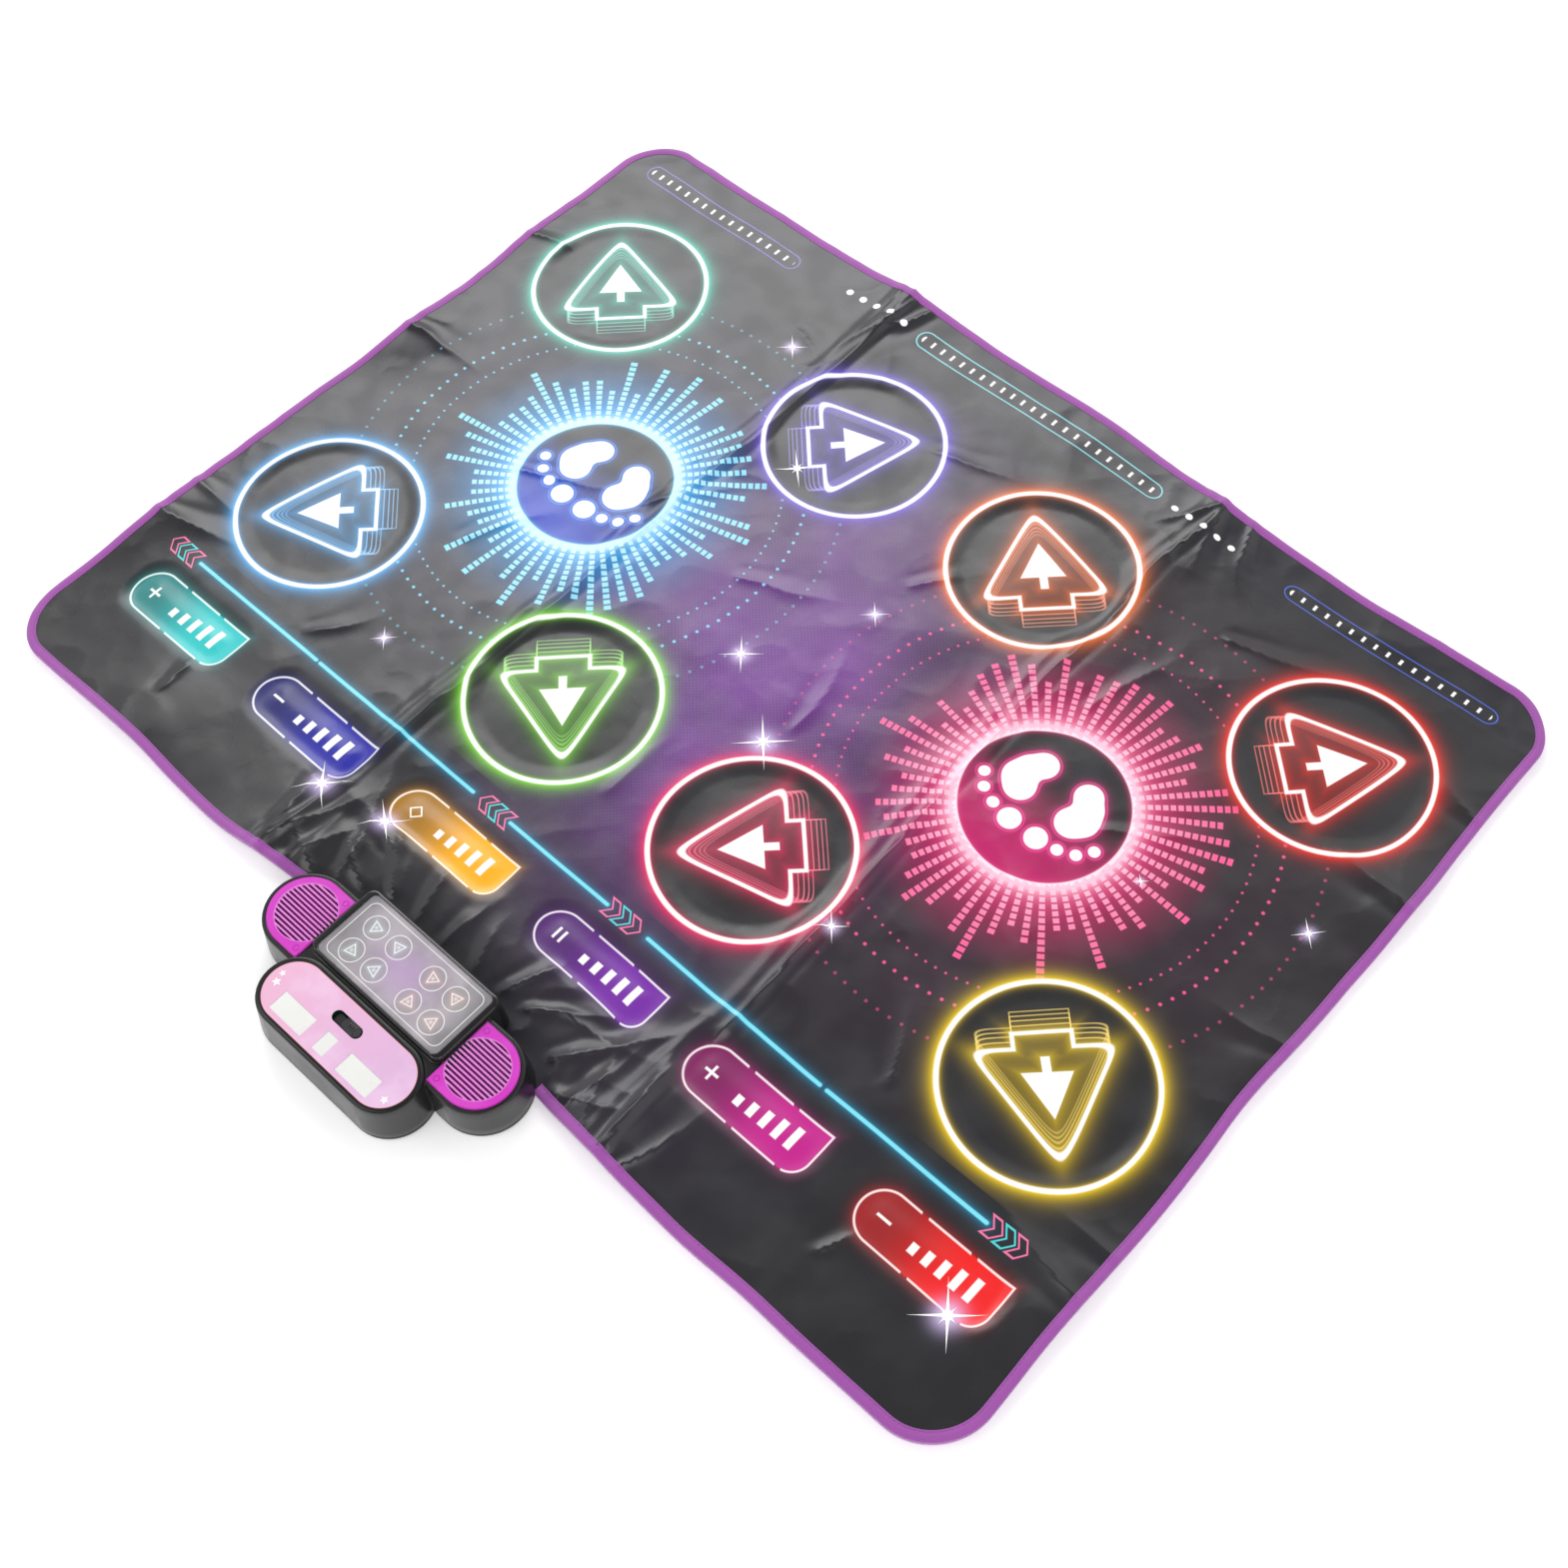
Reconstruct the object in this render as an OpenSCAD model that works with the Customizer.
// Two-player electronic dance mat with a control box clamped to one long edge.
// Millimetres, +Z up. The mat's long side runs along X and the control box is on the -Y side.
// y0 below is the mat's front edge; the whole assembly is shifted so that the origin is the
// centre of its footprint, on the floor.

/* [Mat] */
// Length of the mat along its long side
mat_len = 1100; // [800:1:1500]
// Width of the mat along its short side
mat_wid = 834; // [600:1:1100]
// Radius of the mat's corners
corner_r = 55; // [20:1:90]
// Thickness of the woven base cloth
base_t = 1.0; // [0.8:0.1:2]
// Thickness of the printed circuit film
circuit_t = 0.3; // [0.2:0.05:0.5]
// Thickness of the foam spacer
foam_t = 3.2; // [2.6:0.1:6]
// Thickness of the printed cover film
film_t = 0.5; // [0.3:0.1:1]
// Width of the edge binding
binding_w = 12; // [8:0.5:20]
// Thickness of the edge binding's tape
binding_t = 0.5; // [0.3:0.1:0.8]
// Gap between two panels at a crease
crease_gap = 0.3; // [0.2:0.1:1]
// Distance of each crease from the middle, as a share of the length
crease_share = 0.16727; // [0.15:0.001:0.19]

/* [Step pads] */
// Distance of each player's centre from the middle, as a share of the length
group_share = 0.2422; // [0.23:0.001:0.26]
// Distance of a player's centre from the front edge, as a share of the width
group_y_share = 0.5538; // [0.5:0.001:0.6]
// Sideways distance of a step pad from its player's centre, as a share of the length
step_dx_share = 0.1407; // [0.13:0.001:0.15]
// Distance of a step pad from its player's centre across the mat, as a share of the width
step_dy_share = 0.2282; // [0.2:0.001:0.25]
// Radius of a step pad, as a share of the length
step_r_share = 0.0618; // [0.05:0.001:0.0625]
// How far a pad goes down when it is stepped on
pad_travel = 1.2; // [0.6:0.1:1.6]
// Clearance all round a pad in its hole
pad_gap = 0.5; // [0.3:0.1:1]
// Width of a pad's sloping border
pad_slope = 10; // [3:0.5:14]

/* [Function pads] */
// Length of a function pad, as a share of the mat's length
func_len_share = 0.1018; // [0.08:0.001:0.11]
// Width of a function pad
func_wid = 30; // [20:1:40]
// Corner radius of a function pad
func_corner = 11; // [7:0.5:14]
// Distance of the function pads from the front edge, as a share of the width
func_y_share = 0.1331; // [0.12:0.001:0.15]

/* [Control box] */
// Distance of a speaker's centre from the middle
lobe_x = 100; // [90:1:130]
// Distance of the speakers' centres in front of the mat's edge
lobe_y = 23.5; // [20:0.5:30]
// Radius of a speaker lobe at its top
lobe_r = 36; // [33:0.5:42]
// Height of the speaker lobes above the floor
lobe_top = 38; // [34:0.5:50]
// Half the display block's length between its corner centres
block_x = 67; // [55:1:75]
// Half the display block's depth between its corner centres
block_d = 26.5; // [20:0.5:30]
// Distance of the display block's centre in front of the mat's edge
block_y = 7.5; // [4:0.5:10]
// Corner radius of the display block
block_r = 8; // [5:0.5:12]
// Height of the display block above the floor
block_top = 41.5; // [40:0.5:54]
// Half the distance between the front pill's end centres
front_x = 52; // [45:1:65]
// Distance of the front pill's centre in front of the mat's edge
front_y = 75.6; // [70:0.2:80]
// Radius of the front pill at its top
front_r = 30.5; // [29:0.5:34]
// Height of the front pill above the floor
front_top = 42.5; // [41:0.5:55]
// How much wider the walls are at the parting line than at the top
draft = 4; // [1:0.5:6]
// Wall thickness of both housings
wall = 2.2; // [1.6:0.1:3]
// Gap between the mat's film and the parting line of the two housings
part_gap = 0; // [0:0.1:3]
// Height of the rubber feet
foot_h = 1.2; // [0.8:0.1:3]
// Clearance of parts that drop into a recess
fit_gap = 0.3; // [0.1:0.05:0.6]
// How far the power switch slides
knob_travel = 10.5; // [6:0.5:12]

/* [Battery bay] */
// Length of one battery cell
cell_len = 50; // [42:0.5:52]
// Radius of one battery cell
cell_r = 7.2; // [5:0.1:7.4]
// Distance between two cells
cell_pitch = 15.4; // [15:0.1:17]
// Clearance of the battery door all round
door_gap = 0.35; // [0.2:0.05:0.8]

/* [Smoothness] */
// Facets of a full circle in a preview
$fn = 96; // [24:8:200]

/* [Hidden] */
origin_y = (mat_wid - front_y - front_r - draft - 0.9) / 2;
crease_x = mat_len * crease_share;
circuit_z = base_t;
foam_z = circuit_z + circuit_t;
film_z = foam_z + foam_t;
top_z = film_z + film_t;
part_z = top_z + part_gap;
group_x = mat_len * group_share;
group_y = mat_wid * group_y_share;
step_dx = mat_len * step_dx_share;
step_dy = mat_wid * step_dy_share;
step_r = mat_len * step_r_share;
step_x = [-group_x - step_dx, -group_x - step_dx, -group_x + step_dx, -group_x + step_dx,
          group_x - step_dx, group_x - step_dx, group_x + step_dx, group_x + step_dx];
step_y = [group_y + step_dy, group_y - step_dy];
pad_z = foam_z + 0.1 + pad_travel;
pad_top = top_z + pad_travel;
func_len = mat_len * func_len_share;
func_y = mat_wid * func_y_share;
func_x = [for (s = [-0.39045, -0.22909, -0.07409, 0.08455, 0.24045, 0.39773]) s * mat_len];
edge_in = binding_t + fit_gap;
box_z = foot_h;                      // underside of the lower housing
floor_z = box_z + 2;                 // inside face of its floor
lobe_r0 = lobe_r + draft - 0.5;
block_r0 = block_r + 2.5;
front_r0 = front_r + draft + 0.9;
notch_x = lobe_x + lobe_r0 - 5.5;    // mat cut away under the speaker lobes
notch_y = -lobe_y + lobe_r0 + 2.5;
notch2_x = block_x + block_r0 + 2.5; // deeper cut under the display block
notch2_y = block_d - block_y + block_r0 + 2.5;
tongue_y = 3;                        // cover film reaches this far under the box
roof = wall;                         // thickness of the upper housing's roofs
front_in = front_top - 0.6 - roof;   // underside of the front roof
lobe_in = lobe_top - roof;
block_in = block_top - roof;
label_r = front_r - 3;
window_x = block_x + 2;              // half size of the display window
window_d = block_d + 5.5;
grille_r = lobe_r - 4;
grille_x0 = lobe_x - 23.5;           // straight inner side of a grille
shelf_z = lobe_top - 1.8;            // a grille rests here
shelf_in = 4.5;
board_z = front_in - 8.3;            // underside of the main board
board_t = 1.6;
screw_x = [-front_x - 23, front_x + 23];
bay_x = cell_len / 2 + 3.6;          // inside half size of the battery bay
bay_d = cell_pitch + cell_r + 0.6;
bay_wall = 1.6;
cell_z = floor_z + 1.1 + cell_r;
bay_top = cell_z + cell_r + 0.8;
door_z = box_z + 0.3;
door_t = 1.6;
tongue_w = 6.4;                      // half width of the door's screw tongue
tongue_l = 7.3;
door_screw_y = -front_y - bay_d - 3.8;
rear_screw_x = block_x - 7;
rear_screw_y = block_d - block_y - 4;
joint_z = 12;                        // where upper and lower screw bosses meet
slot_x0 = -16;                       // power switch slot
slot_x1 = 15;
slot_y = -front_y + 9.6;
slot_r = 5.2;
knob_len = slot_x1 - slot_x0 - knob_travel - 2.4;
knob_r = slot_r - 0.8;
tail_w = 12;                         // half width of the circuit's tail
icon_x = [-46, -20, -46, -20, 20, 46, 20, 46];
icon_y = [4, 4, -22, -22, 4, 4, -22, -22];
feet = [[-66, -front_y - 16], [66, -front_y - 16], [-lobe_x - 10, -lobe_y - 6],
        [lobe_x + 10, -lobe_y - 6]];
windows = [[-38.8, 36.5, 18], [-1, 12, 18], [37.5, 35, 18]]; // x, width, depth
windows_y = -front_y - 12.4;

// ---- shared shapes ----

// Rounded rectangle between four corner centres at (+-cx, +-cy)
module rounded(cx, cy, r) {
    square([2 * cx, 2 * (cy + r)], center = true);
    if (cy > 0) square([2 * (cx + r), 2 * cy], center = true);
    for (x = [-cx, cx], y = cy > 0 ? [-cy, cy] : [0]) translate([x, y]) circle(r);
}

// Solid whose outline narrows from corner radius r0 to r1 over the height h
module drafted(cx, cy, r0, r1, h) {
    rotate([90, 0, 90]) translate([0, 0, -cx]) linear_extrude(2 * cx)
        polygon([[-cy - r0, 0], [cy + r0, 0], [cy + r1, h], [-cy - r1, h]]);
    if (cy > 0) rotate([90, 0, 0]) translate([0, 0, -cy]) linear_extrude(2 * cy)
        polygon([[-cx - r0, 0], [cx + r0, 0], [cx + r1, h], [-cx - r1, h]]);
    for (x = [-cx, cx], y = cy > 0 ? [-cy, cy] : [0])
        translate([x, y, 0]) cylinder(h = h, r1 = r0, r2 = r1);
}

// A drafted wall with a small bevel along its top edge
module shell(cx, cy, r0, r1, h, bevel) {
    drafted(cx, cy, r0, r1, h - bevel);
    translate([0, 0, h - bevel]) drafted(cx, cy, r1, r1 - bevel, bevel);
}

// ---- mat ----

module outline(inset) {
    c = corner_r;
    translate([0, mat_wid / 2]) rounded(mat_len / 2 - c, mat_wid / 2 - c, c - inset);
}

// The strip of the plan that belongs to one panel: side is -1, 0 or 1
module strip(side) {
    g = crease_gap / 2;
    if (side == 0) translate([-crease_x + g, -1]) square([2 * (crease_x - g), mat_wid + 2]);
    else translate([side > 0 ? crease_x + g : -mat_len, -1])
        square([mat_len - crease_x - g, mat_wid + 2]);
}

module box_notch(under) {
    if (under) {
        translate([-notch_x, -1]) square([2 * notch_x, notch_y + 1]);
        translate([-notch2_x, -1]) square([2 * notch2_x, notch2_y + 1]);
    } else translate([-notch_x, -1]) square([2 * notch_x, tongue_y + 1]);
}

module panel(side, inset, under) intersection() {
    difference() {
        outline(inset);
        if (side == 0) box_notch(under);
    }
    strip(side);
}

module step_plan(i, r) translate([step_x[i], step_y[i % 2]]) circle(r);

module func_plan(i, grow) translate([func_x[i], func_y])
    rounded(func_len / 2 - func_corner, func_wid / 2 - func_corner, func_corner + grow);

function side_of(x) = x < -crease_x ? -1 : x > crease_x ? 1 : 0;

module pad_holes(side, grow) {
    for (i = [0:7]) if (side_of(step_x[i]) == side) step_plan(i, step_r + grow);
    for (i = [0:5]) if (side_of(func_x[i]) == side) func_plan(i, grow);
}

module base_cloth(side) color([0.16, 0.16, 0.17]) difference() {
    linear_extrude(base_t) panel(side, edge_in, true);
    translate([0, 0, -1]) linear_extrude(binding_t + fit_gap / 3 + 1) difference() {
        outline(-1);
        outline(binding_w + fit_gap);
    }
}

// Printed circuit: a film with a contact patch under every pad
module circuit(side) color([0.75, 0.78, 0.8]) translate([0, 0, circuit_z]) {
    linear_extrude(circuit_t) panel(side, edge_in, true);
    translate([0, 0, circuit_t - 0.01]) linear_extrude(0.08) pad_holes(side, -8);
}

module foam(side) color([0.9, 0.9, 0.88]) translate([0, 0, foam_z])
    linear_extrude(foam_t) difference() {
        panel(side, edge_in, true);
        pad_holes(side, pad_gap);
        if (side == 0) translate([-tail_w - 1, 0]) square([2 * tail_w + 2, notch2_y + 30]);
    }

module film(side) color([0.22, 0.22, 0.24]) translate([0, 0, film_z])
    linear_extrude(film_t) difference() {
        panel(side, edge_in, false);
        pad_holes(side, pad_gap);
        for (x = [-rear_screw_x, rear_screw_x]) translate([x, rear_screw_y]) circle(5);
    }

// Folded tape: a flap under the edge, a wall outside it and a flap above it
module binding(side) color([0.6, 0.3, 0.68]) {
    z = [0, 0, top_z];
    for (k = [0:2]) translate([0, 0, z[k]])
        linear_extrude(k == 1 ? top_z + binding_t : binding_t) difference() {
            intersection() {
                difference() {
                    outline(0);
                    outline(k == 1 ? binding_t : binding_w);
                }
                strip(side);
            }
            if (side == 0) translate([-notch_x, -1]) square([2 * notch_x, notch_y + 1]);
        }
}

module step_pad(i, tint) color(tint) translate([step_x[i], step_y[i % 2], pad_z])
    rotate_extrude() polygon([[0, 0], [step_r, 0], [step_r, top_z - pad_z],
        [step_r - pad_slope, pad_top - pad_z], [0, pad_top - pad_z]]);

module func_pad(i, tint) color(tint) {
    translate([0, 0, pad_z]) linear_extrude(top_z - pad_z) func_plan(i, 0);
    translate([func_x[i], func_y, top_z])
        drafted(func_len / 2 - func_corner, func_wid / 2 - func_corner, func_corner,
            func_corner - min(6, pad_slope / 2), pad_travel);
}

// ---- control box ----

module at_lobes() translate([0, -lobe_y, 0]) children();
module at_block() translate([0, -block_y, 0]) children();
module at_front() translate([0, -front_y, 0]) children();

// Plan of the whole box at the parting line, inset by a distance
module box_plan(inset) {
    at_lobes() rounded(lobe_x, 0, lobe_r0 - inset);
    at_block() rounded(block_x, block_d, block_r0 - inset);
    at_front() rounded(front_x, 0, front_r0 - inset);
}

module bosses(z, h, r) {
    for (x = screw_x) translate([x, -front_y, z]) cylinder(h = h, r = r);
    for (x = [-rear_screw_x, rear_screw_x]) translate([x, rear_screw_y, z])
        cylinder(h = h, r = r);
}

module bay_plan(grow) translate([-bay_x - grow, -front_y - bay_d - grow])
    square([2 * (bay_x + grow), 2 * (bay_d + grow)]);

module tongue_plan(grow) translate([-tongue_w - grow, -front_y - bay_d - tongue_l - grow])
    square([2 * (tongue_w + grow), tongue_l + 2 * grow]);

module lower_housing() color([0.13, 0.13, 0.14]) difference() {
    union() {
        translate([0, 0, box_z]) linear_extrude(1.2) box_plan(1);
        translate([0, 0, box_z + 1.2]) linear_extrude(floor_z - box_z - 1.2) box_plan(0);
        translate([0, 0, box_z + 1.2]) linear_extrude(part_z - box_z - 1.2) difference() {
            box_plan(0);
            box_plan(wall);
            translate([-200, tongue_y]) square([400, 100]);
        }
        // solid rail that the mat's front edge is clamped on
        translate([0, 0, box_z + 1.2]) linear_extrude(film_z - box_z - 1.2) intersection() {
            box_plan(0);
            translate([-200, tongue_y]) square([400, 100]);
        }
        bosses(box_z + 0.5, joint_z - box_z - 0.5, 4.5);
        // battery bay
        translate([0, 0, box_z + 1]) linear_extrude(bay_top + bay_wall - box_z - 1)
            bay_plan(bay_wall);
        translate([0, door_screw_y, floor_z + 0.2]) cylinder(h = 6, r = 3.4);
    }
    translate([0, 0, box_z - 1]) linear_extrude(bay_top - box_z + 1) bay_plan(0);
    translate([0, 0, box_z - 1]) linear_extrude(floor_z - box_z + 1.2) tongue_plan(0);
    translate([0, door_screw_y, 0]) cylinder(h = floor_z + 5, r = 1.9);
    for (x = [-14, 14]) translate([x - 4.5, -front_y + bay_d - 1, floor_z])
        cube([9, 5, 5]);
    translate([0, 0, box_z - 1]) {
        bosses(0, 5.8, 3.2);
        bosses(0, joint_z, 1.7);
    }
    translate([-tail_w - 1, tongue_y - 8, floor_z]) cube([2 * tail_w + 2, 60, 5]);
}

module box_outside() {
    h = -part_z;
    at_lobes() translate([0, 0, part_z]) shell(lobe_x, 0, lobe_r0, lobe_r, lobe_top + h, 1);
    at_block() translate([0, 0, part_z])
        drafted(block_x, block_d, block_r0, block_r, block_top + h);
    at_front() translate([0, 0, part_z])
        shell(front_x, 0, front_r0, front_r, front_top + h, 0.8);
}

module box_inside() translate([0, 0, part_z - 1]) {
    w = wall;
    at_lobes() drafted(lobe_x, 0, lobe_r0 - w, lobe_r - w, lobe_in - part_z + 1);
    at_block() drafted(block_x, block_d, block_r0 - w, block_r - w, block_in - part_z + 1);
    at_front() drafted(front_x, 0, front_r0 - w, front_r - w, front_in - part_z + 1);
}

// Plan of a speaker grille: a circle cut straight on its inner side
module grille_plan(grow) intersection() {
    union() {
        translate([lobe_x, -lobe_y]) circle(grille_r + grow);
        translate([grille_x0 - grow, -lobe_y - grille_r - grow])
            square([lobe_x - grille_x0 + grow, 2 * (grille_r + grow)]);
    }
    translate([grille_x0 - grow, -lobe_y - 60]) square([120, 120]);
}

module both_sides() for (k = [0, 1]) mirror([k, 0, 0]) children();

module windows_plan(grow) for (w = windows) translate([w[0], windows_y])
    square([w[1] + 2 * grow, w[2] + 2 * grow], center = true);

module slot_plan(r) translate([0, slot_y]) for (x = [0]) {
    translate([slot_x0 + slot_r, -r]) square([slot_x1 - slot_x0 - 2 * slot_r, 2 * r]);
    for (c = [slot_x0 + slot_r, slot_x1 - slot_r]) translate([c, 0]) circle(r);
}

module upper_housing() color([0.12, 0.12, 0.13]) difference() {
    union() {
        difference() {
            box_outside();
            box_inside();
        }
        // shelves under the grilles
        intersection() {
            both_sides() translate([0, 0, shelf_z - 2]) linear_extrude(2)
                grille_plan(fit_gap + 1.5);
            box_outside();
        }
        intersection() {
            bosses(joint_z, 60, 4.5);
            box_outside();
        }
        // posts for the main board and the light board
        for (x = [-62, 62], y = [-front_y - 12, -front_y + 12])
            translate([x, y, board_z + board_t]) cylinder(h = front_in - board_z - 1, r = 2.5);
        for (x = [-block_x + 4.2, block_x - 4.2], y = [-block_y - 16, -block_y + 16])
            translate([x, y, block_in - 3]) cylinder(h = 3.5, r = 2.4);
    }
    both_sides() {
        translate([0, 0, shelf_z]) linear_extrude(20) grille_plan(fit_gap);
        translate([0, 0, shelf_z - 3]) linear_extrude(20) intersection() {
            grille_plan(-shelf_in);
            translate([lobe_x, -lobe_y]) circle(grille_r - shelf_in);
        }
    }
    // label recess, display windows and switch slot
    at_front() translate([0, 0, front_top - 0.6]) linear_extrude(5)
        rounded(front_x, 0, label_r + fit_gap);
    translate([0, 0, front_in - 1]) linear_extrude(9) {
        windows_plan(fit_gap);
        slot_plan(slot_r);
    }
    // opening under the display window
    at_block() translate([0, 0, block_in - 1]) linear_extrude(20)
        rounded(block_x - 11.5, block_d - 8, 4);
    translate([0, 0, joint_z - 1]) bosses(0, 13, 1.3);
}

module display_bezel() color([0.05, 0.05, 0.055]) at_block() translate([0, 0, block_top])
    difference() {
        shell(block_x, block_d, block_r, block_r - 0.2, 2.4, 0.9);
        translate([0, 0, -1]) linear_extrude(9)
            rounded(block_x - 3, block_d, window_x - block_x + 3 + fit_gap);
    }

module window_plate(z, h) at_block() translate([0, 0, z]) linear_extrude(h)
    rounded(block_x - 3, block_d, window_x - block_x + 3);

module display_window() color([0.8, 0.78, 0.82, 0.4]) window_plate(block_top + 0.9, 1.1);

module icon_diffuser() color([0.72, 0.68, 0.74]) window_plate(block_top, 0.9);

module led_board() color([0.1, 0.35, 0.2]) difference() {
    at_block() translate([0, 0, block_in - 4.6]) linear_extrude(board_t)
        rounded(block_x - 6, block_d - 3, 2);
    bosses(joint_z, 60, 4.5 + fit_gap);
}

module icon_leds() color([0.95, 0.95, 0.9]) for (i = [0:7])
    translate([icon_x[i], icon_y[i], block_in - 3]) {
        cylinder(h = 1.6, r = 2.4);
        translate([0, 0, 1.6]) cylinder(h = 0.8, r1 = 1.8, r2 = 1.2);
    }

module grille(k) color([0.84, 0.35, 0.84]) mirror([k, 0, 0]) difference() {
    union() {
        translate([0, 0, shelf_z]) linear_extrude(2.4) grille_plan(0);
        translate([0, 0, shelf_z + 2.4]) linear_extrude(0.6) grille_plan(-0.8);
    }
    translate([lobe_x, -lobe_y, shelf_z - 1]) linear_extrude(9) intersection() {
        circle(25.4);
        for (n = [-7:7]) translate([-30, n * 3.5 - 1]) square([60, 2]);
    }
    for (s = [-1, 1]) translate([grille_x0 + 5.5, -lobe_y + s * 26, shelf_z + 2.3])
        difference() {
            cylinder(h = 2, r = 2.6);
            cylinder(h = 2, r = 2.1);
            translate([-1.4, -0.25, 0]) cube([2.8, 0.5, 2]);
            translate([-0.25, -1.4, 0]) cube([0.5, 2.8, 2]);
        }
}

// Loudspeaker driver: flange, basket cone and magnet
module speaker(k) color([0.35, 0.35, 0.37]) mirror([k, 0, 0])
    translate([lobe_x, -lobe_y, shelf_z - 2]) rotate_extrude()
        polygon([[0, -6], [8, -6], [9, -5], [22, -1], [24, -0.4], [26.5, -0.4], [26.5, 0],
            [29, 0], [29, -1.6], [25, -2.6], [16, -12], [16, -14], [13, -14], [13, -20],
            [0, -20]]);

module label_panel() color([0.94, 0.76, 0.88]) translate([0, 0, front_top - 0.6])
    linear_extrude(0.6) difference() {
        at_front() rounded(front_x, 0, label_r);
        windows_plan(0.05);
        slot_plan(slot_r);
    }

module digits(i) color([0.93, 0.94, 0.9])
    translate([windows[i][0] - windows[i][1] / 2, windows_y - windows[i][2] / 2,
        board_z + board_t])
        cube([windows[i][1], windows[i][2], front_top - 0.25 - board_z - board_t]);

module switch_knob() color([0.1, 0.1, 0.11]) {
    x1 = slot_x1 - 1.2;
    x0 = x1 - knob_len;
    for (z = [[front_in + 0.1 - 1.2, front_top + 0.6, knob_r]])
        translate([0, slot_y, z[0]]) linear_extrude(z[1] - z[0]) {
            translate([x0 + z[2], -z[2]]) square([knob_len - 2 * z[2], 2 * z[2]]);
            for (c = [x0 + z[2], x1 - z[2]]) translate([c, 0]) circle(z[2]);
        }
    for (n = [0:3]) translate([x0 + 5.2 + n * 2, slot_y - 2.5, front_top + 0.5])
        cube([0.8, 5, 0.5]);
    translate([x0 - 1.5, slot_y - slot_r - 1.4, front_in - 1.5])
        cube([knob_len + 3, 2 * slot_r + 2.8, 1.2]);
}

module slide_switch() color([0.7, 0.7, 0.72])
    translate([-14, slot_y - 4, board_z + board_t]) cube([28, 8, front_in - 1.7 - board_z
        - board_t]);

module main_board() color([0.12, 0.4, 0.22]) translate([0, -front_y, board_z])
    linear_extrude(board_t) difference() {
        rounded(front_x + 12, 21, 3);
        for (x = screw_x) translate([x, 0]) circle(5.5);
    }

module cells_at() for (n = [-1:1]) translate([0, -front_y + n * cell_pitch, cell_z])
    rotate([0, 90, 0]) mirror([0, 0, n == 0 ? 1 : 0]) children();

// Batteries: can, insulating ring and raised pole
module battery_cells() color([0.15, 0.45, 0.4]) cells_at() {
    translate([0, 0, -cell_len / 2]) cylinder(h = cell_len - 1.6, r = cell_r);
    translate([0, 0, cell_len / 2 - 1.6]) cylinder(h = 1.6, r = 2.7);
}

// A flat plate at each pole and a spring seat at each base
module battery_contacts() color([0.8, 0.8, 0.82]) cells_at() {
    translate([-5, -5, cell_len / 2 + 0.02]) cube([10, 10, 0.6]);
    translate([0, 0, cell_len / 2 + 0.6]) cylinder(h = 3, r = 2);
    translate([0, 0, -cell_len / 2 - 3.6]) cylinder(h = 3.5, r1 = 5.5, r2 = 3);
}

module battery_door() color([0.13, 0.13, 0.14]) difference() {
    union() {
        translate([0, 0, door_z]) linear_extrude(door_t) {
            bay_plan(-door_gap);
            difference() {
                tongue_plan(-door_gap);
                bay_plan(-door_gap);
            }
            translate([-tongue_w + door_gap, -front_y - bay_d - 2]) square([12.1, 4]);
        }
        for (x = [-14, 14]) translate([x - 4, -front_y + bay_d, 0]) {
            translate([0, -3, door_z]) cube([8, 3 - door_gap, 3.6]);
            translate([0, -3, door_z + 2.4]) cube([8, 5, 1.2]);
        }
    }
    translate([0, door_screw_y, door_z - 1]) {
        cylinder(h = 9, r = 1.5);
        cylinder(h = 1.9, r = 3);
    }
}

module door_screw() color([0.75, 0.75, 0.77]) translate([0, door_screw_y, door_z]) {
    difference() {
        cylinder(h = 0.9, r = 2.7);
        translate([-1.5, -0.25, -1]) cube([3, 0.5, 1.5]);
        translate([-0.25, -1.5, -1]) cube([0.5, 3, 1.5]);
    }
    cylinder(h = 6, r = 1.2);
}

module housing_screws() color([0.75, 0.75, 0.77]) difference() {
    union() {
        bosses(box_z + 2.8, 2, 2.8);
        bosses(box_z + 4.7, 15, 1.45);
    }
    for (x = concat(screw_x)) translate([x, -front_y, box_z + 2.8]) cross();
    for (x = [-rear_screw_x, rear_screw_x])
        translate([x, rear_screw_y, box_z + 2.8]) cross();
}

module cross() {
    translate([-1.6, -0.3, -1]) cube([3.2, 0.6, 2]);
    translate([-0.3, -1.6, -1]) cube([0.6, 3.2, 2]);
}

module rubber_feet() color([0.2, 0.2, 0.2]) for (f = feet) translate([f[0], f[1], 0])
    cylinder(h = foot_h, r1 = 5.4, r2 = 6);

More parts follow.
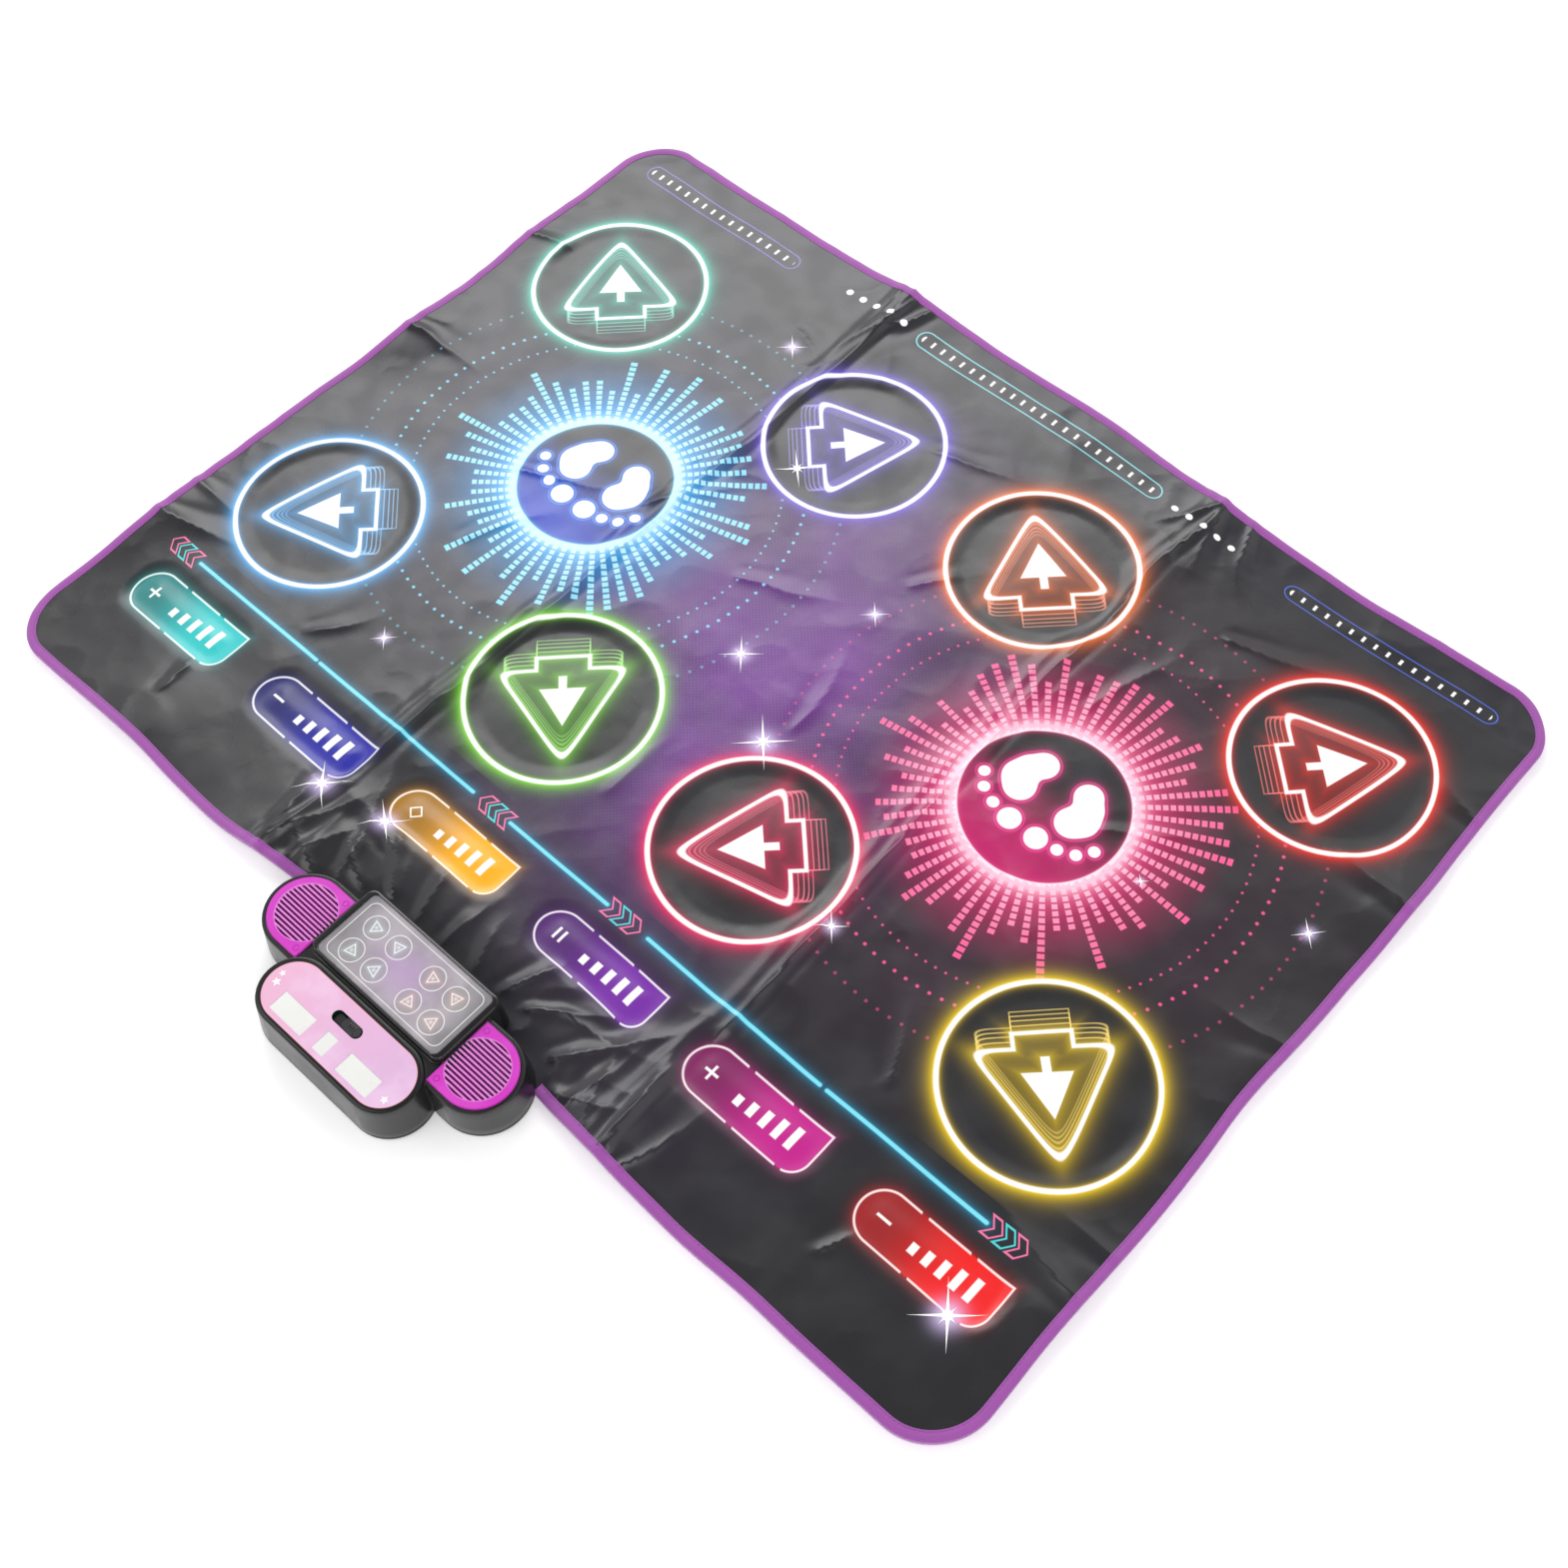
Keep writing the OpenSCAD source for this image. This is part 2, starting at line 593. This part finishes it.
// Ribbon from the circuit film, over the clamping rail and up to the main board
module membrane_tail() color([0.75, 0.78, 0.8]) {
    t = 0.35;
    y1 = notch2_y + 26;
    y2 = notch2_y + 1;
    y3 = notch2_y - 2.3;
    y4 = -front_y + bay_d + bay_wall + 4;
    y5 = y4 - 2.2;
    z1 = circuit_z + circuit_t;
    z2 = floor_z + 0.1;
    rotate([90, 0, 90]) translate([0, 0, -tail_w]) linear_extrude(2 * tail_w)
        polygon([[y1, z1], [y2, z1], [y3, z2], [y4, z2], [y5, board_z], [y5 + t, board_z],
            [y4 + t, z2 + t], [y3, z2 + t], [y2, z1 + t], [y1, z1 + t]]);
}

translate([0, -origin_y, 0]) {
    base_cloth(-1);  // base_cloth_left
    base_cloth(0);  // base_cloth_mid
    base_cloth(1);  // base_cloth_right
    circuit(-1);  // circuit_left
    circuit(0);  // circuit_mid
    circuit(1);  // circuit_right
    foam(-1);  // foam_left
    foam(0);  // foam_mid
    foam(1);  // foam_right
    film(-1);  // film_left
    film(0);  // film_mid
    film(1);  // film_right
    binding(-1);  // binding_left
    binding(0);  // binding_mid
    binding(1);  // binding_right
    step_pad(0, [0.35, 0.82, 0.75]);  // step_pad_1
    step_pad(1, [0.43, 0.78, 1]);  // step_pad_2
    step_pad(2, [0.55, 0.47, 0.9]);  // step_pad_3
    step_pad(3, [0.47, 0.86, 0.24]);  // step_pad_4
    step_pad(4, [1, 0.55, 0.2]);  // step_pad_5
    step_pad(5, [1, 0.24, 0.5]);  // step_pad_6
    step_pad(6, [1, 0.27, 0.2]);  // step_pad_7
    step_pad(7, [1, 0.84, 0.16]);  // step_pad_8
    func_pad(0, [0.24, 0.78, 0.78]);  // func_pad_1
    func_pad(1, [0.2, 0.2, 0.63]);  // func_pad_2
    func_pad(2, [1, 0.75, 0.24]);  // func_pad_3
    func_pad(3, [0.5, 0.24, 0.67]);  // func_pad_4
    func_pad(4, [0.75, 0.2, 0.55]);  // func_pad_5
    func_pad(5, [0.92, 0.2, 0.2]);  // func_pad_6
    lower_housing();
    upper_housing();
    display_bezel();
    display_window();
    icon_diffuser();
    led_board();
    icon_leds();
    grille(1);  // grille_left
    grille(0);  // grille_right
    speaker(1);  // speaker_left
    speaker(0);  // speaker_right
    label_panel();
    digits(0);  // score_display_left
    digits(1);  // level_display
    digits(2);  // score_display_right
    switch_knob();
    slide_switch();
    main_board();
    battery_cells();
    battery_contacts();
    battery_door();
    door_screw();
    housing_screws();
    rubber_feet();
    membrane_tail();
}
